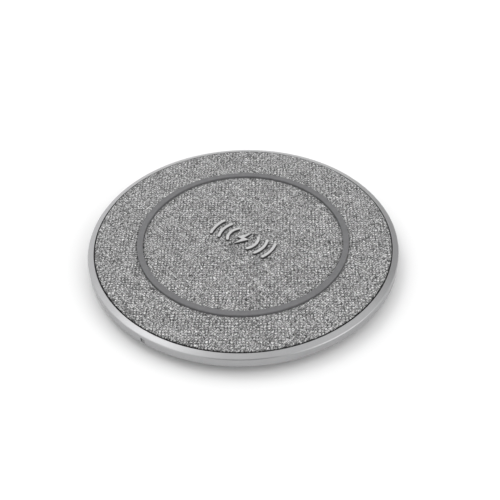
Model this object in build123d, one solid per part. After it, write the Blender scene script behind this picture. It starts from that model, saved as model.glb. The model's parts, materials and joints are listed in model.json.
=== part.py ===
from build123d import *
from math import pi
import os

# Round wireless charging pad: a woven disc and a raised silicone ring on top, an aluminium rim round it,
# and a plastic base on a silicone foot. A circuit board, a ferrite disc and a flat coil are inside.
#
# Frame, in millimetres: the origin is on the surface that the pad stands on, under its centre. +Z is up,
# +Y points to the cable socket at the back, and -Y to the status light at the front.

# ---------------------------------------------------------------- driving dimensions
# Names that end in _R are radii from the pad's axis, and names that end in _Z are heights above the floor.

# Aluminium rim: an upright wall, a bevel above it that leans in, and a ledge that carries the top plate.
# The corner between the wall and the bevel is cut off by a narrow polished facet.
RIM_R = 50.0
RIM_BOTTOM_Z = 3.55
RIM_WALL_TOP_Z = 6.45
BEZEL_INNER_R = 48.0
BEZEL_TOP_Z = 7.2
RIM_BORE_R = 48.6
LEDGE_INNER_R = 46.2
LEDGE_BOTTOM_Z = 5.1
LEDGE_TOP_Z = 6.0
RIM_FACET = 0.2
RIM_LIP_ROUND = 0.15
RIM_CHAMFER = 0.1

# Foam seal on the ledge, in the groove between the bevel and the woven cover.
SEAL_OUTER_R = 47.98
SEAL_INNER_R = 47.74
SEAL_TOP_Z = 6.5

# Plastic base: a shallow dish whose wall slopes out to the rim and then stands up inside it.
BASE_BOTTOM_Z = 0.6
BASE_FLAT_R = 41.0
BASE_WALL_R = 48.5
BASE_WALL = 1.2
FLOOR_TOP_Z = 2.0
FLOOR_EDGE_R = 41.2
WALL_FOOT_Z = 4.6
CENTRE_POCKET_R = 26.0
CENTRE_POCKET_Z = 1.4
BOARD_RIB_R = 40.0
BOARD_RIB_WALL = 1.0
BASE_EDGE_ROUND = 0.5

# Silicone foot: a flat ring in a recess of the base, with grooves round it.
FOOT_OUTER_R = 38.2
FOOT_INNER_R = 28.0
FOOT_TOP_Z = 1.1
FOOT_RECESS_Z = 1.2
FOOT_CLEARANCE = 0.15
FOOT_GROOVES_R = [30.6, 33.1, 35.6]
FOOT_GROOVE_WIDTH = 0.8
FOOT_GROOVE_DEPTH = 0.35
FOOT_EDGE_ROUND = 0.3

# Top plate, the film on it, and the woven cover that wraps over the plate's edge.
PLATE_R = 47.25
PLATE_TOP_Z = 6.85
FILM = 0.08
COVER_R = 47.7
COVER_TOP_Z = 7.55
COVER_HEM_Z = 6.05
COVER_EDGE_ROUND = 0.42
SPIGOT_R = 46.1
SPIGOT_WALL = 0.8
SPIGOT_BOTTOM_Z = 5.2
COIL_RIB_R = 27.6
COIL_RIB_WALL = 0.9
COIL_RIB_BOTTOM_Z = 5.4

# Raised silicone on the woven cover: the ring that a phone lies on, and the charging mark in the middle.
GRIP_OUTER_R = 34.15
GRIP_INNER_R = 32.25
GRIP_TOP_Z = 8.25
GRIP_EDGE_ROUND = 0.2
INLAY_Z = 7.15
MARK_TOP_Z = 8.2
MARK_STROKE = 0.9
MARK_WAVES_R = [5.0, 7.9, 10.8]
MARK_WAVES_REACH = [38.0, 26.0, 19.0]
BOLT_OUTLINE = [(0.9, 3.5), (-1.9, -0.45), (-0.2, -0.45), (-0.9, -3.5), (1.9, 0.45), (0.2, 0.45)]

# Four screws from below pull the base and the top plate together round the rim and the circuit board.
SCREW_CIRCLE_R = 34.0
SCREW_ANGLES = [45.0, 135.0, 225.0, 315.0]
SCREW_SHANK_R = 0.98
SCREW_HEAD_R = 1.9
SCREW_HEAD = 0.85
SCREW_END_Z = 5.5
SCREW_SEAT_Z = 2.2
SCREW_SOCKET_R = 0.6
SCREW_SOCKET_DEPTH = 0.45
COUNTERBORE_R = 2.1
SCREW_HOLE_R = 1.15
PILOT_R = 1.0
PILOT_END_Z = 5.8
BOSS_R = 3.5
SPIGOT_BOSS_R = 2.5
SPIGOT_BOSS_TOP_Z = 3.05

# Circuit board, with arms each side of the cable socket.
BOARD_R = 41.0
BOARD_CLEARANCE = 0.3
BOARD_BOTTOM_Z = 2.3
BOARD_TOP_Z = 3.1
BOARD_ARM_X = 6.2
BOARD_ARM_END_Y = 45.0
BOARD_SLOT_X = 4.6
BOARD_SLOT_Y = 41.9
BOARD_BOSS_HOLE_R = 2.6

# USB-C socket, sunk in the board's slot.
PORT_Z = 3.5
PORT_REAR_Y = 42.0
PORT_MOUTH_Y = 49.35
PORT_WIDTH = 8.94
PORT_HEIGHT = 3.16
PORT_CORNER_R = 1.57
PORT_WALL = 0.3
PORT_GAP = 0.13
PORT_WING_X = 5.9
PORT_WING = 0.3
PORT_WING_DEPTH = 1.2
PORT_WINGS_Y = [43.4, 44.8]
TONGUE_WIDTH = 6.69
TONGUE_THICKNESS = 0.7
TONGUE_END_Y = 48.5
TONGUE_BLOCK_END_Y = 43.3
CONTACTS_A_SIDE = 12
CONTACT_PITCH = 0.5
CONTACT_WIDTH = 0.25
CONTACT_THICKNESS = 0.06
CONTACT_START_Y = 43.5
CONTACT_END_Y = 48.1

# The block of the base that holds the socket and fills a notch in the rim.
PORT_BLOCK_X = 7.6
PORT_BLOCK_R = 49.7
PORT_BLOCK_START_Y = 39.0
PORT_BLOCK_BOTTOM_Z = 1.0
PORT_BLOCK_TOP_Z = 5.75
PORT_BLOCK_ROUND = 0.8
PORT_POCKET_X = 6.4
PORT_POCKET_END_Y = 45.2
PORT_POCKET_BOTTOM_Z = 1.6
NOTCH_GAP = 0.1
NOTCH_FLOOR_R = 48.4

# Status light: a slit in the rim, a clear piece in it, and a lamp on the board behind.
SLIT_WIDTH = 1.45
SLIT_TOP_Z = 5.45
LIGHT_WIDTH = 0.95
LIGHT_FACE_R = 49.85
LIGHT_GAP = 0.05
LIGHT_NECK_BOTTOM_Z = 4.15
LIGHT_NECK_TOP_Z = 5.0
LIGHT_FOOT_R = 41.2
LIGHT_FOOT_END_R = 43.0
LIGHT_FOOT_BOTTOM_Z = 3.15
LIGHT_NOTCH_WIDTH = 1.6
LIGHT_NOTCH_START_R = 44.0
LAMP_SIZE = (1.6, 1.0, 0.65)
LAMP_R = 40.5

# Coil of one wire, wound flat in semicircles about two centres, with both ends led to the board.
WIRE_R = 0.5
COIL_TURNS = 10
COIL_PITCH = 1.35
COIL_START_R = 10.5
COIL_Z = 4.8
COIL_ROTATION = -20.0
INNER_LEAD_Y = 5.0
INNER_LEAD_END_X = 30.5
LEAD_LOW_Z = 3.7
INNER_LEAD_RISE_X = (6.0, 2.0)
OUTER_LEAD_DROP_Y = (-13.0, -17.0)
OUTER_LEAD_END_Y = -21.0
OUTER_LEAD_LOW_Z = 3.65
LEAD_BEND_R = 4.0
SOLDER_SIZE = (2.6, 2.2, 1.0)

# What the coil lies on and under.
FERRITE_R = 26.0
FERRITE_BOTTOM_Z = 3.2
FERRITE_TOP_Z = 4.2
FERRITE_SLOT_WIDTH = 1.4
FERRITE_SLOT_START_X = 1.0
FILM_OUTER_R = 25.0
FILM_INNER_R = 9.6
FOAM_BOTTOM_Z = 5.3
SENSOR_AT = (0.0, -3.0)
SENSOR_HOLE_R = 1.6
SENSOR_R = 1.1
SENSOR_BOTTOM_Z = 4.1
SENSOR_TOP_Z = 5.2
SENSOR_LEG_R = 0.2
SENSOR_LEG_X = 0.6

# Electronic components on the board: size along X and Y and height, then places as angle and radius.
MOSFET_SIZE = (3.3, 3.3, 0.9)
MOSFET_ANGLES = [4.0, 11.5, 19.0, 26.5]
MOSFET_R = 36.0
RESONANT_SIZE = (2.5, 3.2, 2.0)
RESONANT_ANGLES = [176.0, 183.0, 190.0, 197.0]
RESONANT_R = 36.5
INDUCTOR_SIZE = (6.6, 6.6, 2.4)
INDUCTOR_PLACE = (160.0, 35.5)
INDUCTOR_TRIM = 0.9
CONTROLLER_SIZE = (5.0, 5.0, 0.85)
CONTROLLER_PLACE = (74.0, 34.5)
POWER_CHIP_SIZE = (4.0, 4.0, 0.85)
POWER_CHIP_PLACE = (106.0, 35.5)
CRYSTAL_SIZE = (3.2, 2.5, 0.8)
CRYSTAL_PLACE = (61.5, 36.5)
CERAMIC_SIZE = (1.6, 0.8, 0.8)
CERAMIC_ANGLES = [64.0 + 5.0 * step for step in range(12)]
CERAMIC_R = 29.8
RESISTOR_SIZE = (0.5, 1.0, 0.35)
RESISTOR_ANGLES = [238.0 + 3.5 * step for step in range(18)]
RESISTOR_R = 37.5
CHIP_MARK_R = 0.3
CHIP_MARK_DEPTH = 0.1

# A distance beyond the whole part, and how far a cut runs past the faces that it cuts.
OUT_OF_PART = 60.0
OVERCUT = 1.0
UPRIGHT = (Align.CENTER, Align.CENTER, Align.MIN)


# ---------------------------------------------------------------- helpers

def turned(outline, rounds=()):
    """A solid of revolution about Z, from the (radius, height) corners of its section.

    rounds holds pairs of a corner and the radius that it is rounded to.
    """
    section = make_face(Polyline(*outline, close=True))
    for corner, round_r in rounds:
        section = fillet(section.vertices().sort_by_distance(corner)[0], round_r)
    return revolve(Plane.XZ * section, Axis.Z)


def disc(radius, bottom, top, centre=(0.0, 0.0)):
    """An upright cylinder between two heights."""
    return Pos(centre[0], centre[1], bottom) * Cylinder(radius, top - bottom, align=UPRIGHT)


def annulus(outer, inner, bottom, top):
    """A flat ring between two heights."""
    return disc(outer, bottom, top) - disc(inner, bottom, top)


def block(low, high):
    """A box between two opposite corners."""
    size = [high[axis] - low[axis] for axis in range(3)]
    return Pos(*low) * Box(*size, align=Align.MIN)


def around(angle, radius):
    """Places something along +X at a radius, turned about Z by an angle in degrees."""
    return Rot(0, 0, angle) * Pos(radius, 0, 0)


def socket_prism(width, height, corner, start_y, end_y):
    """A rounded bar along Y, centred on the cable socket's axis."""
    section = Plane.XZ.offset(-start_y) * Pos(0, PORT_Z) * RectangleRounded(width, height, corner)
    return extrude(section, amount=start_y - end_y)


def chip(size, angle, radius):
    """A component that lies on the board with its X side facing out."""
    return around(angle, radius) * Pos(0, 0, BOARD_TOP_Z) * Box(*size, align=UPRIGHT)


def marked_chip(size, place):
    """A packaged chip with the shallow dimple that marks its first pin."""
    angle, radius = place
    inset = 3 * CHIP_MARK_R
    top = BOARD_TOP_Z + size[2]
    corner = (size[0] / 2 - inset, size[1] / 2 - inset)
    dimple = disc(CHIP_MARK_R, top - CHIP_MARK_DEPTH, top, corner)
    return chip(size, angle, radius) - around(angle, radius) * dimple


# ---------------------------------------------------------------- outer parts

def make_rim_ring():
    bevel_slope = (BEZEL_TOP_Z - RIM_WALL_TOP_Z) / (RIM_R - BEZEL_INNER_R)
    outline = [
        (RIM_R - RIM_CHAMFER, RIM_BOTTOM_Z),
        (RIM_R, RIM_BOTTOM_Z + RIM_CHAMFER),
        (RIM_R, RIM_WALL_TOP_Z - RIM_FACET),
        (RIM_R - RIM_FACET, RIM_WALL_TOP_Z + RIM_FACET * bevel_slope),
        (BEZEL_INNER_R, BEZEL_TOP_Z),
        (BEZEL_INNER_R, LEDGE_TOP_Z),
        (LEDGE_INNER_R, LEDGE_TOP_Z),
        (LEDGE_INNER_R, LEDGE_BOTTOM_Z),
        (RIM_BORE_R, LEDGE_BOTTOM_Z),
        (RIM_BORE_R, RIM_BOTTOM_Z),
    ]
    ring = turned(outline, [((BEZEL_INNER_R, BEZEL_TOP_Z), RIM_LIP_ROUND)])
    below = RIM_BOTTOM_Z - OVERCUT
    in_the_wall = annulus(RIM_R + OVERCUT, NOTCH_FLOOR_R, below, BEZEL_TOP_Z)
    half_notch = PORT_BLOCK_X + NOTCH_GAP
    notch = block((-half_notch, 0, below), (half_notch, OUT_OF_PART, PORT_BLOCK_TOP_Z + NOTCH_GAP))
    slit = block((-SLIT_WIDTH / 2, -OUT_OF_PART, below), (SLIT_WIDTH / 2, 0, SLIT_TOP_Z))
    return ring - (notch & in_the_wall) - (slit & in_the_wall)


def make_groove_seal():
    return annulus(SEAL_OUTER_R, SEAL_INNER_R, LEDGE_TOP_Z, SEAL_TOP_Z)


def make_port_block():
    """The solid block of the base round the cable socket, before its hollows are cut."""
    tall = block(
        (-PORT_BLOCK_X, PORT_BLOCK_START_Y, PORT_BLOCK_BOTTOM_Z),
        (PORT_BLOCK_X, OUT_OF_PART, PORT_BLOCK_TOP_Z),
    )
    lower_edges = tall.edges().filter_by(Axis.Y).group_by(Axis.Z)[0]
    tall = fillet(lower_edges, PORT_BLOCK_ROUND)
    inside = disc(BASE_WALL_R, 0, LEDGE_BOTTOM_Z)
    in_the_notch = annulus(PORT_BLOCK_R, BASE_WALL_R, 0, PORT_BLOCK_TOP_Z)
    beyond_the_bore = annulus(PORT_BLOCK_R, RIM_BORE_R + NOTCH_GAP, LEDGE_BOTTOM_Z, PORT_BLOCK_TOP_Z)
    below_the_ledge = annulus(PORT_BLOCK_R, BASE_WALL_R, 0, LEDGE_BOTTOM_Z)
    return tall & (inside + (in_the_notch & (beyond_the_bore + below_the_ledge)))


def make_base_shell():
    outline = [
        (0, BASE_BOTTOM_Z),
        (BASE_FLAT_R, BASE_BOTTOM_Z),
        (BASE_WALL_R, RIM_BOTTOM_Z),
        (BASE_WALL_R, LEDGE_BOTTOM_Z),
        (BASE_WALL_R - BASE_WALL, LEDGE_BOTTOM_Z),
        (BASE_WALL_R - BASE_WALL, WALL_FOOT_Z),
        (FLOOR_EDGE_R, FLOOR_TOP_Z),
        (0, FLOOR_TOP_Z),
    ]
    base = turned(outline, [((BASE_FLAT_R, BASE_BOTTOM_Z), BASE_EDGE_ROUND)])
    base -= annulus(
        FOOT_OUTER_R + FOOT_CLEARANCE, FOOT_INNER_R - FOOT_CLEARANCE, BASE_BOTTOM_Z, FOOT_RECESS_Z
    )
    base -= disc(CENTRE_POCKET_R, CENTRE_POCKET_Z, FLOOR_TOP_Z)
    base += annulus(BOARD_RIB_R, BOARD_RIB_R - BOARD_RIB_WALL, FLOOR_TOP_Z, BOARD_BOTTOM_Z)
    base += make_port_block()
    base -= block(
        (-PORT_POCKET_X, PORT_BLOCK_START_Y, PORT_POCKET_BOTTOM_Z),
        (PORT_POCKET_X, PORT_POCKET_END_Y, LEDGE_BOTTOM_Z),
    )
    base -= block(
        (-PORT_BLOCK_X, PORT_BLOCK_START_Y, BOARD_BOTTOM_Z),
        (PORT_BLOCK_X, BOARD_R + BOARD_CLEARANCE, PORT_BLOCK_TOP_Z),
    )
    base -= socket_prism(
        PORT_WIDTH + 2 * PORT_GAP, PORT_HEIGHT + 2 * PORT_GAP, PORT_CORNER_R + PORT_GAP,
        PORT_POCKET_END_Y - OVERCUT, OUT_OF_PART,
    )
    base -= block(
        (-LIGHT_NOTCH_WIDTH / 2, -OUT_OF_PART, LIGHT_NECK_BOTTOM_Z - LIGHT_GAP),
        (LIGHT_NOTCH_WIDTH / 2, -LIGHT_NOTCH_START_R, LEDGE_BOTTOM_Z),
    )
    for angle in SCREW_ANGLES:
        place = around(angle, SCREW_CIRCLE_R)
        base += place * disc(BOSS_R, FOOT_RECESS_Z, BOARD_BOTTOM_Z)
        base += place * disc(SPIGOT_BOSS_R, BOARD_BOTTOM_Z, SPIGOT_BOSS_TOP_Z)
        base -= place * disc(COUNTERBORE_R, FOOT_RECESS_Z, SCREW_SEAT_Z)
        base -= place * disc(SCREW_HOLE_R, SCREW_SEAT_Z, SPIGOT_BOSS_TOP_Z)
    return base


def make_foot_pad():
    outline = [(FOOT_INNER_R, 0), (FOOT_OUTER_R, 0), (FOOT_OUTER_R, FOOT_TOP_Z), (FOOT_INNER_R, FOOT_TOP_Z)]
    pad = turned(outline, [((FOOT_INNER_R, 0), FOOT_EDGE_ROUND), ((FOOT_OUTER_R, 0), FOOT_EDGE_ROUND)])
    for groove in FOOT_GROOVES_R:
        half = FOOT_GROOVE_WIDTH / 2
        pad -= annulus(groove + half, groove - half, 0, FOOT_GROOVE_DEPTH)
    return pad


def make_foot_adhesive():
    return annulus(FOOT_OUTER_R, FOOT_INNER_R, FOOT_TOP_Z, FOOT_RECESS_Z)


def make_top_plate():
    plate = disc(PLATE_R, LEDGE_TOP_Z, PLATE_TOP_Z)
    plate += annulus(SPIGOT_R, SPIGOT_R - SPIGOT_WALL, SPIGOT_BOTTOM_Z, LEDGE_TOP_Z)
    plate += annulus(COIL_RIB_R, COIL_RIB_R - COIL_RIB_WALL, COIL_RIB_BOTTOM_Z, LEDGE_TOP_Z)
    for angle in SCREW_ANGLES:
        place = around(angle, SCREW_CIRCLE_R)
        plate += place * disc(BOSS_R, BOARD_TOP_Z, LEDGE_TOP_Z)
        plate -= place * disc(PILOT_R, BOARD_TOP_Z, PILOT_END_Z)
    return plate


def make_fabric_adhesive():
    return disc(PLATE_R, PLATE_TOP_Z, PLATE_TOP_Z + FILM)


def make_fabric_cover(inlays):
    outline = [
        (0, PLATE_TOP_Z + FILM),
        (PLATE_R, PLATE_TOP_Z + FILM),
        (PLATE_R, COVER_HEM_Z),
        (COVER_R, COVER_HEM_Z),
        (COVER_R, COVER_TOP_Z),
        (0, COVER_TOP_Z),
    ]
    cover = turned(outline, [((COVER_R, COVER_TOP_Z), COVER_EDGE_ROUND)])
    for inlay in inlays:
        cover -= inlay
    return cover


def make_grip_ring():
    outline = [
        (GRIP_INNER_R, INLAY_Z),
        (GRIP_OUTER_R, INLAY_Z),
        (GRIP_OUTER_R, GRIP_TOP_Z),
        (GRIP_INNER_R, GRIP_TOP_Z),
    ]
    return turned(outline, [
        ((GRIP_OUTER_R, GRIP_TOP_Z), GRIP_EDGE_ROUND),
        ((GRIP_INNER_R, GRIP_TOP_Z), GRIP_EDGE_ROUND),
    ])


def make_centre_mark():
    """A lightning bolt between waves, the usual sign for charging without a wire."""
    strokes = [make_face(Polyline(*BOLT_OUTLINE, close=True))]
    for wave_r, reach in zip(MARK_WAVES_R, MARK_WAVES_REACH):
        for side in (0.0, 180.0):
            strokes.append(SlotArc(CenterArc((0, 0), wave_r, side - reach, 2 * reach), MARK_STROKE))
    return [extrude(Pos(0, 0, INLAY_Z) * stroke, amount=MARK_TOP_Z - INLAY_Z) for stroke in strokes]


def make_case_screws():
    screw = disc(SCREW_HEAD_R, SCREW_SEAT_Z - SCREW_HEAD, SCREW_SEAT_Z)
    screw += disc(SCREW_SHANK_R, SCREW_SEAT_Z, SCREW_END_Z)
    socket = RegularPolygon(SCREW_SOCKET_R, 6)
    screw -= Pos(0, 0, SCREW_SEAT_Z - SCREW_HEAD) * extrude(socket, amount=SCREW_SOCKET_DEPTH)
    return [around(angle, SCREW_CIRCLE_R) * screw for angle in SCREW_ANGLES]


# ---------------------------------------------------------------- status light

def make_led_light_pipe():
    outline = [
        (LIGHT_FACE_R, RIM_BOTTOM_Z + LIGHT_GAP),
        (LIGHT_FACE_R, SLIT_TOP_Z - LIGHT_GAP),
        (RIM_BORE_R + LIGHT_GAP, SLIT_TOP_Z - LIGHT_GAP),
        (RIM_BORE_R + LIGHT_GAP, LIGHT_NECK_TOP_Z),
        (LIGHT_FOOT_R, LIGHT_NECK_TOP_Z),
        (LIGHT_FOOT_R, LIGHT_FOOT_BOTTOM_Z),
        (LIGHT_FOOT_END_R, LIGHT_FOOT_BOTTOM_Z),
        (LIGHT_FOOT_END_R, LIGHT_NECK_BOTTOM_Z),
        (RIM_BORE_R + LIGHT_GAP, LIGHT_NECK_BOTTOM_Z),
        (RIM_BORE_R + LIGHT_GAP, RIM_BOTTOM_Z + LIGHT_GAP),
    ]
    corners = [(0, -radius, height) for radius, height in outline]
    side = make_face(Polyline(*corners, close=True))
    return extrude(side, amount=LIGHT_WIDTH / 2, both=True)


def make_indicator_led():
    return chip((LAMP_SIZE[1], LAMP_SIZE[0], LAMP_SIZE[2]), -90.0, LAMP_R)


# ---------------------------------------------------------------- circuit board and socket

def make_circuit_board():
    board = disc(BOARD_R, BOARD_BOTTOM_Z, BOARD_TOP_Z)
    board += block((-BOARD_ARM_X, 0, BOARD_BOTTOM_Z), (BOARD_ARM_X, BOARD_ARM_END_Y, BOARD_TOP_Z))
    board -= block((-BOARD_SLOT_X, BOARD_SLOT_Y, BOARD_BOTTOM_Z), (BOARD_SLOT_X, OUT_OF_PART, BOARD_TOP_Z))
    for angle in SCREW_ANGLES:
        board -= around(angle, SCREW_CIRCLE_R) * disc(BOARD_BOSS_HOLE_R, BOARD_BOTTOM_Z, BOARD_TOP_Z)
    return board


def make_usb_c_shell():
    shell = socket_prism(PORT_WIDTH, PORT_HEIGHT, PORT_CORNER_R, PORT_REAR_Y, PORT_MOUTH_Y)
    hollow = socket_prism(
        PORT_WIDTH - 2 * PORT_WALL, PORT_HEIGHT - 2 * PORT_WALL, PORT_CORNER_R - PORT_WALL,
        PORT_REAR_Y + PORT_WALL, OUT_OF_PART,
    )
    for wing_y in PORT_WINGS_Y:
        shell += block(
            (-PORT_WING_X, wing_y - PORT_WING_DEPTH, BOARD_TOP_Z),
            (PORT_WING_X, wing_y, BOARD_TOP_Z + PORT_WING),
        )
    return shell - hollow


def make_usb_c_tongue():
    rear = socket_prism(
        PORT_WIDTH - 2 * PORT_WALL, PORT_HEIGHT - 2 * PORT_WALL, PORT_CORNER_R - PORT_WALL,
        PORT_REAR_Y + PORT_WALL, TONGUE_BLOCK_END_Y,
    )
    half = TONGUE_THICKNESS / 2
    tongue = block(
        (-TONGUE_WIDTH / 2, TONGUE_BLOCK_END_Y, PORT_Z - half),
        (TONGUE_WIDTH / 2, TONGUE_END_Y, PORT_Z + half),
    )
    front_edges = tongue.edges().filter_by(Axis.X).group_by(Axis.Y)[-1]
    return rear + chamfer(front_edges, half / 2)


def make_usb_c_contacts():
    half = TONGUE_THICKNESS / 2
    first_x = -CONTACT_PITCH * (CONTACTS_A_SIDE - 1) / 2
    contacts = []
    for bottom in (PORT_Z + half, PORT_Z - half - CONTACT_THICKNESS):
        for index in range(CONTACTS_A_SIDE):
            middle_x = first_x + index * CONTACT_PITCH
            contacts.append(block(
                (middle_x - CONTACT_WIDTH / 2, CONTACT_START_Y, bottom),
                (middle_x + CONTACT_WIDTH / 2, CONTACT_END_Y, bottom + CONTACT_THICKNESS),
            ))
    return contacts


# ---------------------------------------------------------------- coil

def coil_path():
    """The wire's centre line: the inner lead, the turns outward, and the outer lead."""
    rise_start, rise_end = INNER_LEAD_RISE_X
    drop_start, drop_end = OUTER_LEAD_DROP_Y
    last_x = -COIL_START_R - COIL_TURNS * COIL_PITCH
    corner_r = INNER_LEAD_Y - WIRE_R
    inner_lead = FilletPolyline(
        (INNER_LEAD_END_X, INNER_LEAD_Y, LEAD_LOW_Z),
        (rise_start, INNER_LEAD_Y, LEAD_LOW_Z),
        (rise_end, INNER_LEAD_Y, COIL_Z),
        (-COIL_START_R, INNER_LEAD_Y, COIL_Z),
        (-COIL_START_R, 0, COIL_Z),
        radius=[LEAD_BEND_R, LEAD_BEND_R, corner_r],
    )
    edges = list(inner_lead.edges())
    for half_turn in range(2 * COIL_TURNS):
        outward = half_turn % 2 == 0
        centre_x = 0.0 if outward else -COIL_PITCH / 2
        radius = COIL_START_R + half_turn * COIL_PITCH / 2
        start_angle = 180.0 if outward else 0.0
        edges.append(CenterArc((centre_x, 0, COIL_Z), radius, start_angle, 180.0))
    outer_lead = FilletPolyline(
        (last_x, 0, COIL_Z),
        (last_x, drop_start, COIL_Z),
        (last_x, drop_end, OUTER_LEAD_LOW_Z),
        (last_x, OUTER_LEAD_END_Y, OUTER_LEAD_LOW_Z),
        radius=[LEAD_BEND_R, LEAD_BEND_R],
    )
    edges.extend(outer_lead.edges())
    return Wire(edges)


def make_charging_coil(path):
    section = Plane(origin=path @ 0, z_dir=path % 0) * Circle(WIRE_R)
    return Rot(0, 0, COIL_ROTATION) * sweep(section, path=path)


def make_coil_solder(coil):
    """The two mounds of solder that hold the coil's ends on the board."""
    last_x = -COIL_START_R - COIL_TURNS * COIL_PITCH
    length, width, height = SOLDER_SIZE
    mound = Box(length, width, height, align=UPRIGHT)
    mound = chamfer(mound.edges().group_by(Axis.Z)[-1], height / 3)
    inner = Pos(INNER_LEAD_END_X - length / 4, INNER_LEAD_Y, BOARD_TOP_Z) * mound
    outer = Pos(last_x, OUTER_LEAD_END_Y + length / 4, BOARD_TOP_Z) * Rot(0, 0, 90) * mound
    return [Rot(0, 0, COIL_ROTATION) * one - coil for one in (inner, outer)]


def make_ferrite_disc():
    ferrite = disc(FERRITE_R, FERRITE_BOTTOM_Z, FERRITE_TOP_Z)
    half = FERRITE_SLOT_WIDTH / 2
    slot = block(
        (FERRITE_SLOT_START_X, INNER_LEAD_Y - half, FERRITE_BOTTOM_Z),
        (OUT_OF_PART, INNER_LEAD_Y + half, FERRITE_TOP_Z),
    )
    hole = disc(SENSOR_HOLE_R, FERRITE_BOTTOM_Z, FERRITE_TOP_Z, SENSOR_AT)
    return Rot(0, 0, COIL_ROTATION) * (ferrite - slot - hole)


def make_ferrite_adhesive():
    return annulus(FERRITE_R, FILM_INNER_R, BOARD_TOP_Z, FERRITE_BOTTOM_Z)


def make_coil_adhesive():
    return annulus(FILM_OUTER_R, FILM_INNER_R, FERRITE_TOP_Z, COIL_Z - WIRE_R)


def make_coil_foam():
    return annulus(FILM_OUTER_R, FILM_INNER_R, FOAM_BOTTOM_Z, LEDGE_TOP_Z)


def make_coil_thermistor():
    bead = disc(SENSOR_R, SENSOR_BOTTOM_Z, SENSOR_TOP_Z, SENSOR_AT)
    bead = fillet(bead.edges(), SENSOR_R / 3)
    for side in (-1, 1):
        foot = (SENSOR_AT[0] + side * SENSOR_LEG_X, SENSOR_AT[1])
        bead += disc(SENSOR_LEG_R, BOARD_TOP_Z, SENSOR_BOTTOM_Z + SENSOR_R / 2, foot)
    return Rot(0, 0, COIL_ROTATION) * bead


# ---------------------------------------------------------------- components on the board

def make_power_inductor():
    angle, radius = INDUCTOR_PLACE
    body = Box(*INDUCTOR_SIZE, align=UPRIGHT)
    body = chamfer(body.edges().filter_by(Axis.Z), INDUCTOR_TRIM)
    return around(angle, radius) * Pos(0, 0, BOARD_TOP_Z) * body


def make_row(size, angles, radius):
    """Equal components in an arc round the board."""
    return [chip(size, angle, radius) for angle in angles]


# ---------------------------------------------------------------- the whole pad

def make_parts():
    coil = make_charging_coil(coil_path())
    grip_ring = make_grip_ring()
    centre_mark = make_centre_mark()
    return {
        "foot_pad": [make_foot_pad()],
        "foot_adhesive": [make_foot_adhesive()],
        "base_shell": [make_base_shell()],
        "case_screws": make_case_screws(),
        "rim_ring": [make_rim_ring()],
        "groove_seal": [make_groove_seal()],
        "top_plate": [make_top_plate()],
        "fabric_adhesive": [make_fabric_adhesive()],
        "fabric_cover": [make_fabric_cover([grip_ring, *centre_mark])],
        "grip_ring": [grip_ring],
        "centre_mark": centre_mark,
        "led_light_pipe": [make_led_light_pipe()],
        "indicator_led": [make_indicator_led()],
        "circuit_board": [make_circuit_board()],
        "usb_c_shell": [make_usb_c_shell()],
        "usb_c_tongue": [make_usb_c_tongue()],
        "usb_c_contacts": make_usb_c_contacts(),
        "ferrite_adhesive": [make_ferrite_adhesive()],
        "ferrite_disc": [make_ferrite_disc()],
        "coil_adhesive": [make_coil_adhesive()],
        "charging_coil": [coil],
        "coil_solder": make_coil_solder(coil),
        "coil_thermistor": [make_coil_thermistor()],
        "coil_foam": [make_coil_foam()],
        "power_inductor": [make_power_inductor()],
        "resonant_capacitors": make_row(RESONANT_SIZE, RESONANT_ANGLES, RESONANT_R),
        "power_mosfets": make_row(MOSFET_SIZE, MOSFET_ANGLES, MOSFET_R),
        "controller_chip": [marked_chip(CONTROLLER_SIZE, CONTROLLER_PLACE)],
        "power_delivery_chip": [marked_chip(POWER_CHIP_SIZE, POWER_CHIP_PLACE)],
        "timing_crystal": [chip(CRYSTAL_SIZE, *CRYSTAL_PLACE)],
        "ceramic_capacitors": make_row(CERAMIC_SIZE, CERAMIC_ANGLES, CERAMIC_R),
        "chip_resistors": make_row(RESISTOR_SIZE, RESISTOR_ANGLES, RESISTOR_R),
    }


def solids_of(shapes):
    """All the solids in a list of shapes."""
    return [solid for shape in shapes for solid in shape.solids()]


def main():
    os.makedirs("parts", exist_ok=True)
    path = coil_path()
    coil_volume = make_charging_coil(path).volume
    print("coil wire length", round(path.length, 2), "volume", round(coil_volume, 3),
          "section times length", round(pi * WIRE_R ** 2 * path.length, 3))
    for node, shapes in make_parts().items():
        solids = solids_of(shapes)
        export_step(solids[0] if len(solids) == 1 else Compound(children=solids), f"parts/{node}.step")


main()
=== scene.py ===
import json
from math import cos, pi, radians, sin

import bpy
import numpy as np
from mathutils import Matrix, Vector
from mathutils.bvhtree import BVHTree


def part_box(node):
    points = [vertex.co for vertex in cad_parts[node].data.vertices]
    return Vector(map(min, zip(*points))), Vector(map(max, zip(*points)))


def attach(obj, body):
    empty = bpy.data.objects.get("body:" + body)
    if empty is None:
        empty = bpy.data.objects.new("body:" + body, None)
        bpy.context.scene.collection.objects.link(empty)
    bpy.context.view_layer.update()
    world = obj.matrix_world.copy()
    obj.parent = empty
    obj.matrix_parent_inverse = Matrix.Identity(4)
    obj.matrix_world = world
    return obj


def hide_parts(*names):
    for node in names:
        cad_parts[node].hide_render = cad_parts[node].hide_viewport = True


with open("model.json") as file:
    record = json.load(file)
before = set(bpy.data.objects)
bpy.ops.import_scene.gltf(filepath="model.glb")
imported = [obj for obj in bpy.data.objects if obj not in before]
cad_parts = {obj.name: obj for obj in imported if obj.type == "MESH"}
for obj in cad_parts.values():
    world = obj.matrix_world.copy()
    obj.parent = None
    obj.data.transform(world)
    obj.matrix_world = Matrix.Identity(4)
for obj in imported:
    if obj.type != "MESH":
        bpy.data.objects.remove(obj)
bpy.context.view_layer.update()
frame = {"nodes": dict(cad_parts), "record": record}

# The looks of a round wireless charging pad. Lengths are in metres, in the frame of the CAD model: the
# origin is on the floor under the pad's centre, +Z is up, +Y is the back and -Y the front.

MM = 0.001

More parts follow.
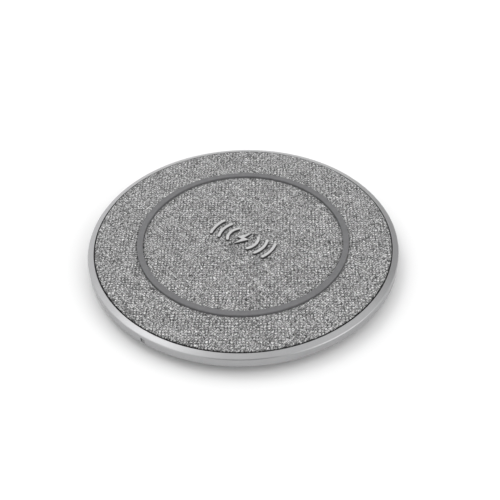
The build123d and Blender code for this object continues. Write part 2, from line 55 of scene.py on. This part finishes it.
# ---------------------------------------------------------------- sizes, worked out from the frame

cover_low, cover_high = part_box("fabric_cover")
ring_low, ring_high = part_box("grip_ring")
mark_low, mark_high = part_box("centre_mark")

COVER_R = cover_high.x
COVER_TOP = cover_high.z
COVER_HEM = cover_low.z
PLATE_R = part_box("top_plate")[1].x
FILM_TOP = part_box("fabric_adhesive")[1].z
RING_OUTER_R = ring_high.x
INLAY_BOTTOM = ring_low.z

# The mount's point is in the middle of the ring's top face.
PHONE_FACE = next(mount for mount in frame["record"]["mounts"] if mount["name"] == "charging_surface")
RING_INNER_R = 2 * PHONE_FACE["pos_m"][0] - RING_OUTER_R


# ---------------------------------------------------------------- camera

CAMERA_TARGET_Z = 3.8 * MM
CAMERA_DISTANCE = 0.2997
CAMERA_AZIMUTH = radians(37.5)
CAMERA_ELEVATION = radians(42.45)
CAMERA_ROLL = radians(-2.0)
CAMERA_YAW = radians(-0.416)
CAMERA_PITCH = radians(-0.138)
CAMERA_LENS = 66.24
CAMERA_SENSOR = 36.0
CAMERA_NEAREST = 0.01


def add_camera():
    """The camera looks at the pad's axis, near the height of the rim's lower edge."""
    azimuth, elevation = CAMERA_AZIMUTH, CAMERA_ELEVATION
    target = Vector((0, 0, CAMERA_TARGET_Z))
    back = Vector((sin(azimuth) * cos(elevation), -cos(azimuth) * cos(elevation), sin(elevation)))
    forward = -back
    right = Vector((cos(azimuth), sin(azimuth), 0))
    up = right.cross(forward)
    looking = Matrix((right, up, back)).transposed()
    aim = Matrix.Rotation(CAMERA_YAW, 3, "Y") @ Matrix.Rotation(CAMERA_PITCH, 3, "X")
    roll = Matrix.Rotation(CAMERA_ROLL, 3, "Z")
    turn = (looking @ aim @ roll).to_4x4()
    data = bpy.data.cameras.new("camera")
    data.lens = CAMERA_LENS
    data.sensor_width = CAMERA_SENSOR
    data.clip_start = CAMERA_NEAREST
    camera = bpy.data.objects.new("camera", data)
    camera.matrix_world = Matrix.Translation(target + back * CAMERA_DISTANCE) @ turn
    bpy.context.scene.collection.objects.link(camera)
    bpy.context.scene.camera = camera


# ---------------------------------------------------------------- material building

# Noise seldom leaves this range, so it is what tones and values are spread over.
NOISE_RANGE = (0.3, 0.7)
NOISE_MEAN = 0.5


class Nodes:
    """Short calls for the nodes of one tree."""

    def __init__(self, tree):
        self.tree = tree

    def feed(self, socket, value):
        """Gives a socket a value, or links it to another node's output."""
        if isinstance(value, bpy.types.NodeSocket):
            self.tree.links.new(value, socket)
        else:
            socket.default_value = value

    def node(self, kind, inputs=None, **settings):
        """A node with its settings, whose inputs are values or other nodes' outputs."""
        made = self.tree.nodes.new(kind)
        for name, value in settings.items():
            setattr(made, name, value)
        for key, value in (inputs or {}).items():
            self.feed(made.inputs[key], value)
        return made

    def maths(self, operation, a, b=0.0, c=0.0):
        """The result of an operation on up to three numbers."""
        return self.node("ShaderNodeMath", {0: a, 1: b, 2: c}, operation=operation).outputs[0]

    def ranged(self, value, low, high, to_low, to_high, easing="LINEAR"):
        """A value moved from one range to another, and kept in it."""
        inputs = {"Value": value, "From Min": low, "From Max": high, "To Min": to_low, "To Max": to_high}
        return self.node("ShaderNodeMapRange", inputs, interpolation_type=easing).outputs["Result"]


class Shader(Nodes):
    """A material with one surface shader."""

    def __init__(self, name):
        self.material = bpy.data.materials.new(name)
        self.material.use_nodes = True
        super().__init__(self.material.node_tree)
        self.surface = self.tree.nodes["Principled BSDF"]
        self.place = self.node("ShaderNodeTexCoord").outputs["Object"]

    def part(self, vector, axis):
        """One of a vector's three numbers."""
        return self.node("ShaderNodeSeparateXYZ", {"Vector": vector}).outputs[axis]

    def vector(self, x, y, z=0.0):
        """A vector of three numbers."""
        return self.node("ShaderNodeCombineXYZ", {"X": x, "Y": y, "Z": z}).outputs[0]

    def either(self, share, a, b):
        """Two numbers mixed: the first where the share is 0, and the second where it is 1."""
        return self.node("ShaderNodeMix", {0: share, 2: a, 3: b}).outputs[0]

    def blend(self, share, a, b, mode="MIX"):
        """Two colours mixed."""
        inputs = {0: share, 6: a, 7: b}
        return self.node("ShaderNodeMix", inputs, data_type="RGBA", blend_type=mode).outputs[2]

    def random(self, vector):
        """A random number for each vector."""
        return self.node("ShaderNodeTexWhiteNoise", {"Vector": vector}).outputs["Value"]

    def noise(self, size, place=None, detail=2.0, roughness=0.5, distortion=0.0):
        """Noise whose features are about that size, in the unit that the place is given in."""
        inputs = {
            "Vector": place or self.place,
            "Scale": 1.0 / size,
            "Detail": detail,
            "Roughness": roughness,
            "Distortion": distortion,
        }
        return self.node("ShaderNodeTexNoise", inputs).outputs["Fac"]

    def clouded(self, fine, broad, share):
        """Fine noise with a share of broad noise in it."""
        return self.maths("MULTIPLY_ADD", broad, share, self.maths("MULTIPLY", fine, 1.0 - share))

    def spread(self, noise, low, high):
        """Noise as values from a low one to a high one."""
        return self.ranged(noise, *NOISE_RANGE, low, high)

    def tones(self, noise, dark, light):
        """Noise as colours from a dark one to a light one."""
        return self.ramp(noise, [(NOISE_RANGE[0], dark), (NOISE_RANGE[1], light)])

    def ramp(self, value, stops):
        """Colours along a value; each stop is its position and its grey or colour."""
        made = self.node("ShaderNodeValToRGB", {"Fac": value})
        points = made.color_ramp.elements
        while len(points) < len(stops):
            points.new(0.5)
        for point, (position, colour) in zip(points, stops):
            point.position = position
            point.color = (*colour, 1.0) if hasattr(colour, "__len__") else (colour, colour, colour, 1.0)
        return made.outputs["Color"]

    def bump(self, height, distance, strength):
        """The surface's normal, tilted by a relief."""
        inputs = {"Height": height, "Distance": distance, "Strength": strength}
        return self.node("ShaderNodeBump", inputs).outputs["Normal"]

    def set(self, **sockets):
        """Sets or links the surface shader's sockets; an underscore stands for a space."""
        for name, value in sockets.items():
            self.feed(self.surface.inputs[name.replace("_", " ")], value)


# ---------------------------------------------------------------- cloth: sizes

# A plain weave, turned against the pad's X axis, with eight mesh points to three yarns. The yarns' half width
# is in pitches.
YARN_PITCH = 0.744 * MM
SAMPLE_STEP = YARN_PITCH * 3 / 8
WEAVE_TURN = radians(-10.2)
YARN_HALF_WIDTH = 0.36
YARN_THICKNESS = 0.22 * MM
YARN_WAVE = 0.1 * MM
CLOTH_RELIEF = YARN_WAVE + YARN_THICKNESS

# What is uneven in it, and the size of the random waves that make it so. Yarns drift and kink to the side
# by these shares of the pitch, swell to slubs by this share of their width, and lift.
CLOTH_SEED = 7
DRIFT = 0.15
DRIFT_SIZE = 7 * MM
KINK = 0.1
KINK_SIZE = 2 * MM
KINK_WAVES = 12
SLUB = 0.16
SLUB_SIZE = 1.6 * MM
LIFT = 0.02 * MM
LIFT_SIZE = 1.2 * MM

# The relief stands on a level inside the CAD cover's top, and turns down inside the cover's edge.
RELIEF_INSIDE_TOP = 0.8 * CLOTH_RELIEF
RELIEF_INSIDE_EDGE = 0.6 * CLOTH_RELIEF
CLOTH_ROUND = 0.5 * MM
CLOTH_LEVEL = COVER_TOP - RELIEF_INSIDE_TOP
CLOTH_EDGE_R = COVER_R - RELIEF_INSIDE_EDGE - CLOTH_ROUND
EDGE_MARGIN = 0.3 * SAMPLE_STEP

# The inlaid silicone presses the cloth to just under its own foot, and that fades out beside it. Distances
# from the mark are measured within a reach of the mark's box.
INLAY_PRESS = 0.03 * MM
INLAY_FADE = 0.28 * MM
INLAY_REACH = 1 * MM

# Rows of the mesh past the flat top: the angle that the cloth has turned down by, and its drop after that.
# Then come the hem's rows, in to the plate's edge and up it to the film, as radii and heights.
EDGE_DROP = 0.3 * MM
EDGE_PATH = [(radians(30), 0.0), (radians(60), 0.0), (radians(90), 0.0), (radians(90), EDGE_DROP)]
HEM_THICKNESS = 0.3 * MM
PLATE_GAP = 0.01 * MM
HEM_PATH = [
    (PLATE_R + HEM_THICKNESS, COVER_HEM),
    (PLATE_R + PLATE_GAP, COVER_HEM),
    (PLATE_R + PLATE_GAP, FILM_TOP),
]


# ---------------------------------------------------------------- cloth: material

# Each yarn is a few strands side by side, in stretches of random tones. Lengths are in yarn pitches.
STRANDS_A_YARN = 5.0
STRAND_LENGTH = 0.6

# Fibres are finer, with this many changes to a pitch along the yarn and across it.
FIBRES_ALONG = 1.5
FIBRES_ACROSS = 14.0
FIBRE_RELIEF = 0.06 * MM

# Streaks are slower, and the stride from yarn to yarn takes them to another place in their noise.
STREAK_LENGTH = 7.0
STREAK_STRIDE = 3.7
STREAK_RANGE = (0.25, 0.75)

# The mean tone, and how much each source of unevenness adds to it. A share of the next stretch's tone is
# taken off each stretch's own, so that neighbours differ more than they would by chance.
CLOTH_TONE = 0.45
STRAND_SHARE = 0.6
NEXT_SHARE = 0.6
FLOAT_SHARE = 0.1
FIBRE_SHARE = 0.2
STREAK_SHARE = 0.32
WARP_LIGHTER = 0.16
MELANGE_GREYS = [(0.15, 0.045), (0.35, 0.16), (0.5, 0.34), (0.65, 0.54), (0.85, 0.86)]

# Painted shade in the gaps beside and beyond a float, and low down in the groove beside the rim.
FLOAT_HALF_WIDTH = 0.46
FLOAT_HALF_LENGTH = 0.75
GAP_RANGE = (0.25, 1.1)
GAP_SHADE = 0.5
SIDE_LEVELS = (CLOTH_LEVEL - 0.3 * MM, CLOTH_LEVEL + 0.05 * MM)
SIDE_SHADE = 0.06


class ClothShader(Shader):
    """The cloth's material, which knows where each point is in the weave.

    The mesh counts yarns in two directions. The yarn on top at a point is a warp where the sum of the two
    counts is even, and a weft where it is odd. The rest is measured across and along that yarn.
    """

    def __init__(self):
        super().__init__("woven_fabric")
        yarns = self.node("ShaderNodeAttribute", attribute_name="weave").outputs["Vector"]
        a, b = self.part(yarns, 0), self.part(yarns, 1)
        self.column, self.row = self.maths("ROUND", a), self.maths("ROUND", b)
        self.weft_up = self.maths("FLOORED_MODULO", self.maths("ADD", self.column, self.row), 2.0)
        self.along = self.either(self.weft_up, b, a)
        self.across = self.either(self.weft_up, a, b)

    def strand_tones(self):
        """A random tone for each stretch of a strand, and the tone of the stretch after it."""
        strand = self.maths("FLOOR", self.maths("MULTIPLY_ADD", self.across, STRANDS_A_YARN, 0.5))
        start = self.node("ShaderNodeTexWhiteNoise", {"W": strand}, noise_dimensions="1D").outputs["Value"]
        stretch = self.maths("FLOOR", self.maths("MULTIPLY_ADD", self.along, 1.0 / STRAND_LENGTH, start))
        place = self.vector(strand, stretch, self.weft_up)
        next_place = self.node("ShaderNodeVectorMath", {0: place, 1: (0.0, 1.0, 0.0)}).outputs[0]
        return self.random(place), self.random(next_place)

    def float_tone(self):
        """A random tone for each float, the stretch of a yarn on top of one crossing."""
        return self.random(self.vector(self.column, self.row, self.weft_up))

    def streaks(self):
        """Slow changes of tone along each yarn, on its own."""
        yarn = self.maths("MULTIPLY", self.maths("ROUND", self.across), STREAK_STRIDE)
        along = self.maths("DIVIDE", self.along, STREAK_LENGTH)
        side = self.maths("MULTIPLY", self.weft_up, STREAK_STRIDE)
        noise = self.noise(1.0, self.vector(yarn, along, side), detail=1.0)
        return self.ranged(noise, *STREAK_RANGE, 0.0, 1.0)

    def fibres(self):
        """Noise drawn out along the yarns."""
        along = self.maths("MULTIPLY", self.along, FIBRES_ALONG)
        across = self.maths("MULTIPLY", self.across, FIBRES_ACROSS)
        return self.noise(1.0, self.vector(along, across), roughness=0.6)

    def off_middle(self, place, half_size):
        """How far a place is from the nearest float's middle, in half sizes of a float, squared."""
        off = self.maths("SUBTRACT", place, self.maths("ROUND", place))
        return self.maths("POWER", self.maths("DIVIDE", off, half_size), 2.0)

    def painted_shade(self):
        """Painted shade: darkness in the gaps round each float, and down in the groove beside the rim."""
        beside = self.off_middle(self.across, FLOAT_HALF_WIDTH)
        beyond = self.off_middle(self.along, FLOAT_HALF_LENGTH)
        painted_gap_shade = self.ranged(self.maths("ADD", beside, beyond), *GAP_RANGE, 1.0, GAP_SHADE)
        side = self.ranged(self.part(self.place, 2), *SIDE_LEVELS, SIDE_SHADE, 1.0)
        painted_shade = self.maths("MULTIPLY", painted_gap_shade, side)
        return self.node("ShaderNodeCombineColor", {0: painted_shade, 1: painted_shade, 2: painted_shade}).outputs[0]


def cloth_material():
    """Melange yarns: strands of lighter and darker fibres along each float, with painted shade in the gaps
    round it and down in the groove beside the rim.
    """
    shader = ClothShader()
    fibres = shader.fibres()
    strand_tone, next_tone = shader.strand_tones()
    sources = [
        (shader.streaks(), STREAK_SHARE),
        (shader.weft_up, -WARP_LIGHTER),
        (strand_tone, STRAND_SHARE),
        (next_tone, -STRAND_SHARE * NEXT_SHARE),
        (shader.float_tone(), FLOAT_SHARE),
        (shader.spread(fibres, 0.0, 1.0), FIBRE_SHARE),
    ]
    tone = CLOTH_TONE - NOISE_MEAN * sum(share for _, share in sources)
    for source, share in sources:
        tone = shader.maths("MULTIPLY_ADD", source, share, tone)
    # The base colour is multiplied by painted shade in the weave's gaps and low in the groove.
    shader.set(
        Base_Color=shader.blend(1.0, shader.ramp(tone, MELANGE_GREYS), shader.painted_shade(), "MULTIPLY"),
        Roughness=shader.spread(fibres, 0.8, 1.0),
        Sheen_Weight=0.1,
        Sheen_Roughness=0.5,
        Specular_IOR_Level=0.2,
        Normal=shader.bump(fibres, FIBRE_RELIEF, strength=0.8),
    )
    return shader.material


# ---------------------------------------------------------------- other materials

ALUMINIUM_TONES = ((0.345, 0.345, 0.35), (0.42, 0.42, 0.425))
ALUMINIUM_GRAIN = 0.12 * MM
ALUMINIUM_CLOUDS = 6.0 * MM
ALUMINIUM_RELIEF = 0.01 * MM

SILICONE_TONES = ((0.13, 0.13, 0.134), (0.165, 0.165, 0.17))
SILICONE_MOTTLE = 1.5 * MM
SKIN_GRAIN = 0.1 * MM
SKIN_RELIEF = 0.01 * MM
DUST_SIZE = 0.25 * MM
DUST_RANGE = (0.74, 0.8)
DUST_SHARE = 0.35
DUST_COLOUR = (0.45, 0.45, 0.45, 1.0)

# The mark's sides are painted shade: below a thin band under the top face they get darker greys than the top.
MARK_SHADED_SIDE_GREYS = (0.06, 0.085)
MARK_TOP_GREYS = (0.46, 0.56)
MARK_MOTTLE = 0.8 * MM
MARK_SHADE_FADE = 0.05 * MM
MARK_SHADE_WOBBLE = 0.1 * MM

PIPE_TONES = ((0.15, 0.15, 0.153), (0.2, 0.2, 0.203))
PIPE_STREAKS = 0.6 * MM
PIPE_MILKINESS = 0.6 * MM
PIPE_RELIEF = 0.01 * MM


def aluminium_material():
    """Bead-blasted and clear anodised: a fine even grain, with a faint cloudiness."""
    shader = Shader("rim_aluminium")
    grain = shader.noise(ALUMINIUM_GRAIN, roughness=0.7)
    clouds = shader.noise(ALUMINIUM_CLOUDS, detail=3.0)
    shader.set(
        Base_Color=shader.tones(shader.clouded(grain, clouds, share=0.25), *ALUMINIUM_TONES),
        Metallic=1.0,
        Roughness=shader.spread(grain, 0.28, 0.36),
        Normal=shader.bump(grain, ALUMINIUM_RELIEF, strength=0.5),
    )
    return shader.material


def silicone_material():
    """Moulded silicone, matte, with a faint mottle and the odd grain of dust."""
    shader = Shader("silicone")
    mottle = shader.noise(SILICONE_MOTTLE, detail=4.0, roughness=0.6)
    skin = shader.noise(SKIN_GRAIN, detail=1.0)
    dust = shader.ranged(shader.noise(DUST_SIZE, detail=1.0), *DUST_RANGE, 0.0, DUST_SHARE)
    shader.set(
        Base_Color=shader.blend(dust, shader.tones(mottle, *SILICONE_TONES), DUST_COLOUR),
        Roughness=shader.spread(mottle, 0.55, 0.68),
        Specular_IOR_Level=0.35,
        Normal=shader.bump(skin, SKIN_RELIEF, strength=0.35),
    )
    return shader.material


def mark_material():
    """Silicone with light grey top faces and darker grey sides, which are painted shade; the line between
    them wanders a little.
    """
    shader = Shader("mark_silicone")
    mottle = shader.noise(MARK_MOTTLE, detail=4.0, roughness=0.6)
    skin = shader.noise(SKIN_GRAIN, detail=1.0)
    # Below a thin band under the top face the colour turns to the painted shade of the sides; the mottle
    # makes the band's lower edge wander.
    height = shader.maths("MULTIPLY_ADD", mottle, MARK_SHADE_WOBBLE, shader.part(shader.place, 2))
    unshaded_top = shader.ranged(height, mark_high.z - MARK_SHADE_FADE, mark_high.z, 0.0, 1.0)
    side = shader.tones(mottle, *MARK_SHADED_SIDE_GREYS)
    top = shader.tones(mottle, *MARK_TOP_GREYS)
    shader.set(
        Base_Color=shader.blend(unshaded_top, side, top),
        Roughness=shader.spread(mottle, 0.42, 0.55),
        Specular_IOR_Level=0.35,
        Normal=shader.bump(skin, SKIN_RELIEF, strength=0.35),
    )
    return shader.material


def light_pipe_material():
    """Frosted clear plastic, a little milky, with flow streaks from the moulding."""
    shader = Shader("light_pipe")
    streaks = shader.noise(PIPE_STREAKS, detail=3.0, distortion=0.4)
    shader.set(
        Base_Color=shader.tones(streaks, *PIPE_TONES),
        Roughness=shader.spread(streaks, 0.3, 0.45),
        Subsurface_Weight=0.15,
        Subsurface_Radius=(PIPE_MILKINESS, PIPE_MILKINESS, PIPE_MILKINESS),
        Subsurface_Scale=1.0,
        Normal=shader.bump(streaks, PIPE_RELIEF, strength=0.3),
    )
    return shader.material


# The other materials: a dark and a light tone, the grain's size and the range of roughness. Some also say
# how metallic they are, the grain's relief, and how the grain is squeezed along each axis.
GRAINED = {
    "base_plastic": dict(
        dark=(0.035, 0.035, 0.037), light=(0.06, 0.06, 0.063), grain=0.18 * MM, rough=(0.5, 0.7),
        relief=0.02 * MM,
    ),
    "lamp_body": dict(dark=(0.75, 0.7, 0.5), light=(0.9, 0.87, 0.72), grain=0.3 * MM, rough=(0.2, 0.35)),
    "adhesive_film": dict(dark=(0.6, 0.57, 0.5), light=(0.72, 0.7, 0.64), grain=0.5 * MM, rough=(0.4, 0.6)),
    "screw_steel": dict(
        dark=(0.12, 0.12, 0.125), light=(0.25, 0.25, 0.26), grain=0.15 * MM, rough=(0.3, 0.5), metallic=1.0
    ),
    "socket_steel": dict(
        dark=(0.5, 0.5, 0.51), light=(0.68, 0.67, 0.66), grain=0.12 * MM, rough=(0.2, 0.38), metallic=1.0,
        relief=0.004 * MM, squeeze=(1, 6, 1),
    ),
    "contact_gold": dict(
        dark=(0.72, 0.48, 0.16), light=(0.9, 0.66, 0.3), grain=0.1 * MM, rough=(0.18, 0.32), metallic=1.0,
        relief=0.004 * MM,
    ),
    "black_plastic": dict(
        dark=(0.012, 0.012, 0.013), light=(0.035, 0.035, 0.037), grain=0.12 * MM, rough=(0.4, 0.6)
    ),
    "board_laminate": dict(
        dark=(0.008, 0.06, 0.028), light=(0.02, 0.13, 0.06), grain=0.5 * MM, rough=(0.2, 0.4)
    ),
    "ferrite": dict(
        dark=(0.03, 0.03, 0.032), light=(0.07, 0.068, 0.066), grain=0.15 * MM, rough=(0.5, 0.75)
    ),
    "coil_copper": dict(
        dark=(0.42, 0.13, 0.04), light=(0.75, 0.34, 0.15), grain=0.15 * MM, rough=(0.25, 0.4), metallic=1.0
    ),
    "solder": dict(
        dark=(0.5, 0.5, 0.5), light=(0.75, 0.75, 0.74), grain=0.3 * MM, rough=(0.2, 0.4), metallic=1.0
    ),
    "sensor_epoxy": dict(
        dark=(0.01, 0.01, 0.01), light=(0.03, 0.03, 0.03), grain=0.3 * MM, rough=(0.15, 0.3)
    ),
    "foam": dict(
        dark=(0.02, 0.02, 0.02), light=(0.06, 0.06, 0.06), grain=0.25 * MM, rough=(0.85, 1.0),
        relief=0.06 * MM,
    ),
    "capacitor_ceramic": dict(
        dark=(0.34, 0.22, 0.13), light=(0.5, 0.36, 0.24), grain=0.2 * MM, rough=(0.4, 0.6)
    ),
}

# The grain has broad patches in it, this many times its size.
PATCH_SIZE = 12.0


def grained_material(name, dark, light, grain, rough, metallic=0.0, relief=0.01 * MM, squeeze=(1, 1, 1)):
    """A solid material with a fine grain."""
    shader = Shader(name)
    inputs = {0: shader.place, 1: squeeze}
    place = shader.node("ShaderNodeVectorMath", inputs, operation="MULTIPLY").outputs[0]
    fine = shader.noise(grain, place, detail=3.0, roughness=0.6)
    tone = shader.clouded(fine, shader.noise(PATCH_SIZE * grain), share=0.3)
    shader.set(
        Base_Color=shader.tones(tone, dark, light),
        Metallic=metallic,
        Roughness=shader.spread(tone, *rough),
        Normal=shader.bump(fine, relief, strength=0.6),
    )
    return shader.material


def make_materials():
    """One material for each slot of the record."""
    made = {name: grained_material(name, **looks) for name, looks in GRAINED.items()}
    made["woven_fabric"] = cloth_material()
    made["rim_aluminium"] = aluminium_material()
    made["silicone"] = silicone_material()
    made["mark_silicone"] = mark_material()
    made["light_pipe"] = light_pipe_material()
    return made


def paint_frame(materials):
    """Every CAD node gets its slot's material."""
    for part in frame["record"]["subparts"]:
        piece = frame["nodes"][part["node"]]
        piece.data.materials.clear()
        piece.data.materials.append(materials[part["material_slot"]])


# ---------------------------------------------------------------- cloth: mesh

class Wander:
    """A smooth random field over the plane: a few sine waves in random directions.

    Their lengths lie in a range round the field's size.
    """

    WAVELENGTHS = (0.6, 1.8)

    def __init__(self, random, size, waves=6):
        angles = random.uniform(0, 2 * pi, waves)
        pace = 2 * pi / (size * random.uniform(*self.WAVELENGTHS, waves))
        self.x, self.y = pace * np.cos(angles), pace * np.sin(angles)
        self.phase = random.uniform(0, 2 * pi, waves)

    def __call__(self, x, y):
        total = sum(np.sin(a * x + b * y + c) for a, b, c in zip(self.x, self.y, self.phase))
        return total / np.sqrt(len(self.phase) / 2)


def weave(x, y):
    """Relief of a plain weave at points of the cloth, and each point's place counted in yarns."""
    random = np.random.default_rng(CLOTH_SEED)
    drift_a, drift_b = Wander(random, DRIFT_SIZE), Wander(random, DRIFT_SIZE)
    kink_a, kink_b = Wander(random, KINK_SIZE, KINK_WAVES), Wander(random, KINK_SIZE, KINK_WAVES)
    slub_a, slub_b = Wander(random, SLUB_SIZE), Wander(random, SLUB_SIZE)
    lift = Wander(random, LIFT_SIZE)
    even_a = (x * cos(WEAVE_TURN) + y * sin(WEAVE_TURN)) / YARN_PITCH
    even_b = (y * cos(WEAVE_TURN) - x * sin(WEAVE_TURN)) / YARN_PITCH
    a = even_a + DRIFT * drift_a(x, y) + KINK * kink_a(x, y)
    b = even_b + DRIFT * drift_b(x, y) + KINK * kink_b(x, y)
    column, row = np.round(a), np.round(b)
    sign = np.where((column + row) % 2 == 0, 1.0, -1.0)
    width_a = YARN_HALF_WIDTH * (1 + SLUB * slub_a(x, y))
    width_b = YARN_HALF_WIDTH * (1 + SLUB * slub_b(x, y))
    swell_a = np.sqrt(np.clip(1 - ((a - column) / width_a) ** 2, 0, 1))
    swell_b = np.sqrt(np.clip(1 - ((b - row) / width_b) ** 2, 0, 1))
    warp = sign * YARN_WAVE * np.cos(pi * (b - row)) + YARN_THICKNESS * swell_a
    weft = -sign * YARN_WAVE * np.cos(pi * (a - column)) + YARN_THICKNESS * swell_b
    return np.maximum(warp, weft) + LIFT * lift(x, y), np.stack([a, b, np.zeros(len(a))], 1)


def corners(grid):
    """The four corners of every square of a grid, in turn."""
    return grid[:-1, :-1], grid[1:, :-1], grid[1:, 1:], grid[:-1, 1:]


def cloth_grid():
    """Points and faces of a square grid in the weave's direction, cut to a circle.

    The corners outside the circle, or within a margin of it, are moved on to it.
    """
    count = int(CLOTH_EDGE_R / SAMPLE_STEP) + 2
    numbers = np.arange(-count, count + 1)
    grid_u, grid_v = np.meshgrid(numbers * SAMPLE_STEP, numbers * SAMPLE_STEP, indexing="ij")
    x = grid_u * cos(WEAVE_TURN) - grid_v * sin(WEAVE_TURN)
    y = grid_u * sin(WEAVE_TURN) + grid_v * cos(WEAVE_TURN)
    inside = np.hypot(x, y) < CLOTH_EDGE_R - EDGE_MARGIN
    kept = np.logical_or.reduce(corners(inside))
    index = np.arange(x.size).reshape(x.shape)
    used, faces = np.unique(np.stack([corner[kept] for corner in corners(index)], 1), return_inverse=True)
    x, y, inside = x.ravel()[used], y.ravel()[used], inside.ravel()[used]
    pull = CLOTH_EDGE_R / np.where(inside, CLOTH_EDGE_R, np.hypot(x, y))
    return x * pull, y * pull, faces.reshape(-1, 4), ~inside


def beside_mark(x, y):
    """Distances from the mark's solids, zero inside them, and without limit where that is far."""
    tree = BVHTree.FromObject(frame["nodes"]["centre_mark"], bpy.context.evaluated_depsgraph_get())
    level = (mark_low.z + mark_high.z) / 2
    near = (np.abs(x) < mark_high.x + INLAY_REACH) & (np.abs(y) < mark_high.y + INLAY_REACH)
    distances = np.full(len(x), np.inf)
    for i in np.nonzero(near)[0]:
        point = Vector((x[i], y[i], level))
        nearest, normal, _, distance = tree.find_nearest(point)
        distances[i] = distance if (point - nearest).dot(normal) > 0 else 0.0
    return distances


def inlay_depth(x, y):
    """How far the cloth is pressed down, from 0 to 1, near the ring and the mark."""
    radius = np.hypot(x, y)
    beside_ring = np.maximum(RING_INNER_R - radius, radius - RING_OUTER_R)
    beside = np.clip(np.minimum(beside_ring, beside_mark(x, y)) / INLAY_FADE, 0, 1)
    return (1 - beside) ** 2


def top_points(x, y):
    """Places of the points on top, and their counts of yarns."""
    height, yarns = weave(x, y)
    full = CLOTH_LEVEL + height
    z = full + (INLAY_BOTTOM - INLAY_PRESS - full) * inlay_depth(x, y)
    return np.stack([x, y, z], 1), yarns


def edge_row(angles, turn, drop):
    """Places round the edge, where the cloth has turned down and dropped, and their counts of yarns."""
    reach = CLOTH_EDGE_R + CLOTH_ROUND * turn + drop
    height, yarns = weave(reach * np.cos(angles), reach * np.sin(angles))
    out = CLOTH_EDGE_R + CLOTH_ROUND * sin(turn) + height * sin(turn)
    up = CLOTH_LEVEL - CLOTH_ROUND * (1 - cos(turn)) - drop + height * cos(turn)
    return np.stack([out * np.cos(angles), out * np.sin(angles), up], 1), yarns


def hem_row(angles, out, up):
    """Places of a plain row round the plate. It doesn't show, so no yarns are counted."""
    places = np.stack([out * np.cos(angles), out * np.sin(angles), np.full(len(angles), up)], 1)
    return places, np.zeros_like(places)


def cloth_mesh():
    """Relief on top, wrapped over the plate's edge, and closed with a flat back."""
    x, y, quads, on_edge = cloth_grid()
    ring = np.nonzero(on_edge)[0]
    angles = np.arctan2(y[ring], x[ring])
    order = np.argsort(angles)
    ring, angles = ring[order], angles[order]
    rows = [edge_row(angles, turn, drop) for turn, drop in EDGE_PATH]
    rows += [hem_row(angles, out, up) for out, up in HEM_PATH]
    faces = quads.tolist()
    for number in range(len(rows)):
        fresh = len(x) + number * len(ring) + np.arange(len(ring))
        faces += np.stack([ring, fresh, np.roll(fresh, -1), np.roll(ring, -1)], 1).tolist()
        ring = fresh
    faces.append(ring[::-1].tolist())
    places, yarns = (np.concatenate(arrays) for arrays in zip(top_points(x, y), *rows))
    mesh = bpy.data.meshes.new("fabric_weave")
    mesh.from_pydata(places.tolist(), [], faces)
    counts = mesh.attributes.new("weave", "FLOAT_VECTOR", "POINT")
    counts.data.foreach_set("vector", yarns.astype(np.float32).ravel())
    mesh.validate()
    mesh.shade_smooth()
    return mesh


def make_cloth(material):
    """The woven cover."""
    mesh = cloth_mesh()
    mesh.materials.append(material)
    cloth = bpy.data.objects.new("fabric_weave", mesh)
    bpy.context.scene.collection.objects.link(cloth)
    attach(cloth, "root")
    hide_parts("fabric_cover")


# ---------------------------------------------------------------- stage and light

FLOOR_SIZE = 6.0
FLOOR_PATCHES = 0.4
FLOOR_GREYS = (0.93, 0.95)


def add_floor():
    """A pale seamless floor."""
    shader = Shader("floor")
    shader.set(
        Base_Color=shader.tones(shader.noise(FLOOR_PATCHES), *FLOOR_GREYS),
        Roughness=0.9,
        Specular_IOR_Level=0.1,
    )
    half = FLOOR_SIZE / 2
    square = [(-half, -half, 0), (half, -half, 0), (half, half, 0), (-half, half, 0)]
    mesh = bpy.data.meshes.new("floor")
    mesh.from_pydata(square, [], [(0, 1, 2, 3)])
    mesh.materials.append(shader.material)
    floor = bpy.data.objects.new("floor", mesh)
    bpy.context.scene.collection.objects.link(floor)


def towards(azimuth, elevation):
    """A direction; its azimuth is in degrees from the camera's right, anticlockwise as seen from above."""
    angle = CAMERA_AZIMUTH + radians(azimuth)
    lift = radians(elevation)
    return cos(angle) * cos(lift), sin(angle) * cos(lift), sin(lift)


ROOM_LIGHT = 1.2

# Patches of the white room around the pad: azimuth and elevation of the middle, the angles from it at which
# the patch starts to fade and has faded, and the light added there. The room is darker behind the camera.
ROOM_PATCHES = {
    "key": (142, 63, 5, 15, 2.4),
    "ceiling": (-90, 88, 6, 26, -0.24),
    "side": (-28, 28, 10, 30, 0.9),
    "behind_camera": (-90, 36, 14, 34, -0.8),
    "back_right": (59, 28, 8, 32, -0.5),
    "right_high": (50, 43, 6, 18, -0.3),
}


def add_world():
    """A white light tent with brighter and darker patches."""
    world = bpy.data.worlds.new("studio")
    world.use_nodes = True
    nodes = Nodes(world.node_tree)
    direction = nodes.node("ShaderNodeTexCoord").outputs["Generated"]
    light = ROOM_LIGHT
    for azimuth, elevation, inner, outer, amount in ROOM_PATCHES.values():
        inputs = {0: direction, 1: towards(azimuth, elevation)}
        facing = nodes.node("ShaderNodeVectorMath", inputs, operation="DOT_PRODUCT").outputs["Value"]
        patch = nodes.ranged(facing, cos(radians(outer)), cos(radians(inner)), 0.0, amount, "SMOOTHSTEP")
        light = nodes.maths("ADD", patch, light)
    background = world.node_tree.nodes["Background"]
    background.inputs["Color"].default_value = (1.0, 1.0, 1.0, 1.0)
    nodes.feed(background.inputs["Strength"], light)
    bpy.context.scene.world = world


# ---------------------------------------------------------------- the whole scene

add_camera()
add_world()
bpy.context.scene.view_settings.view_transform = "Standard"
add_floor()
slot_materials = make_materials()
paint_frame(slot_materials)
make_cloth(slot_materials["woven_fabric"])
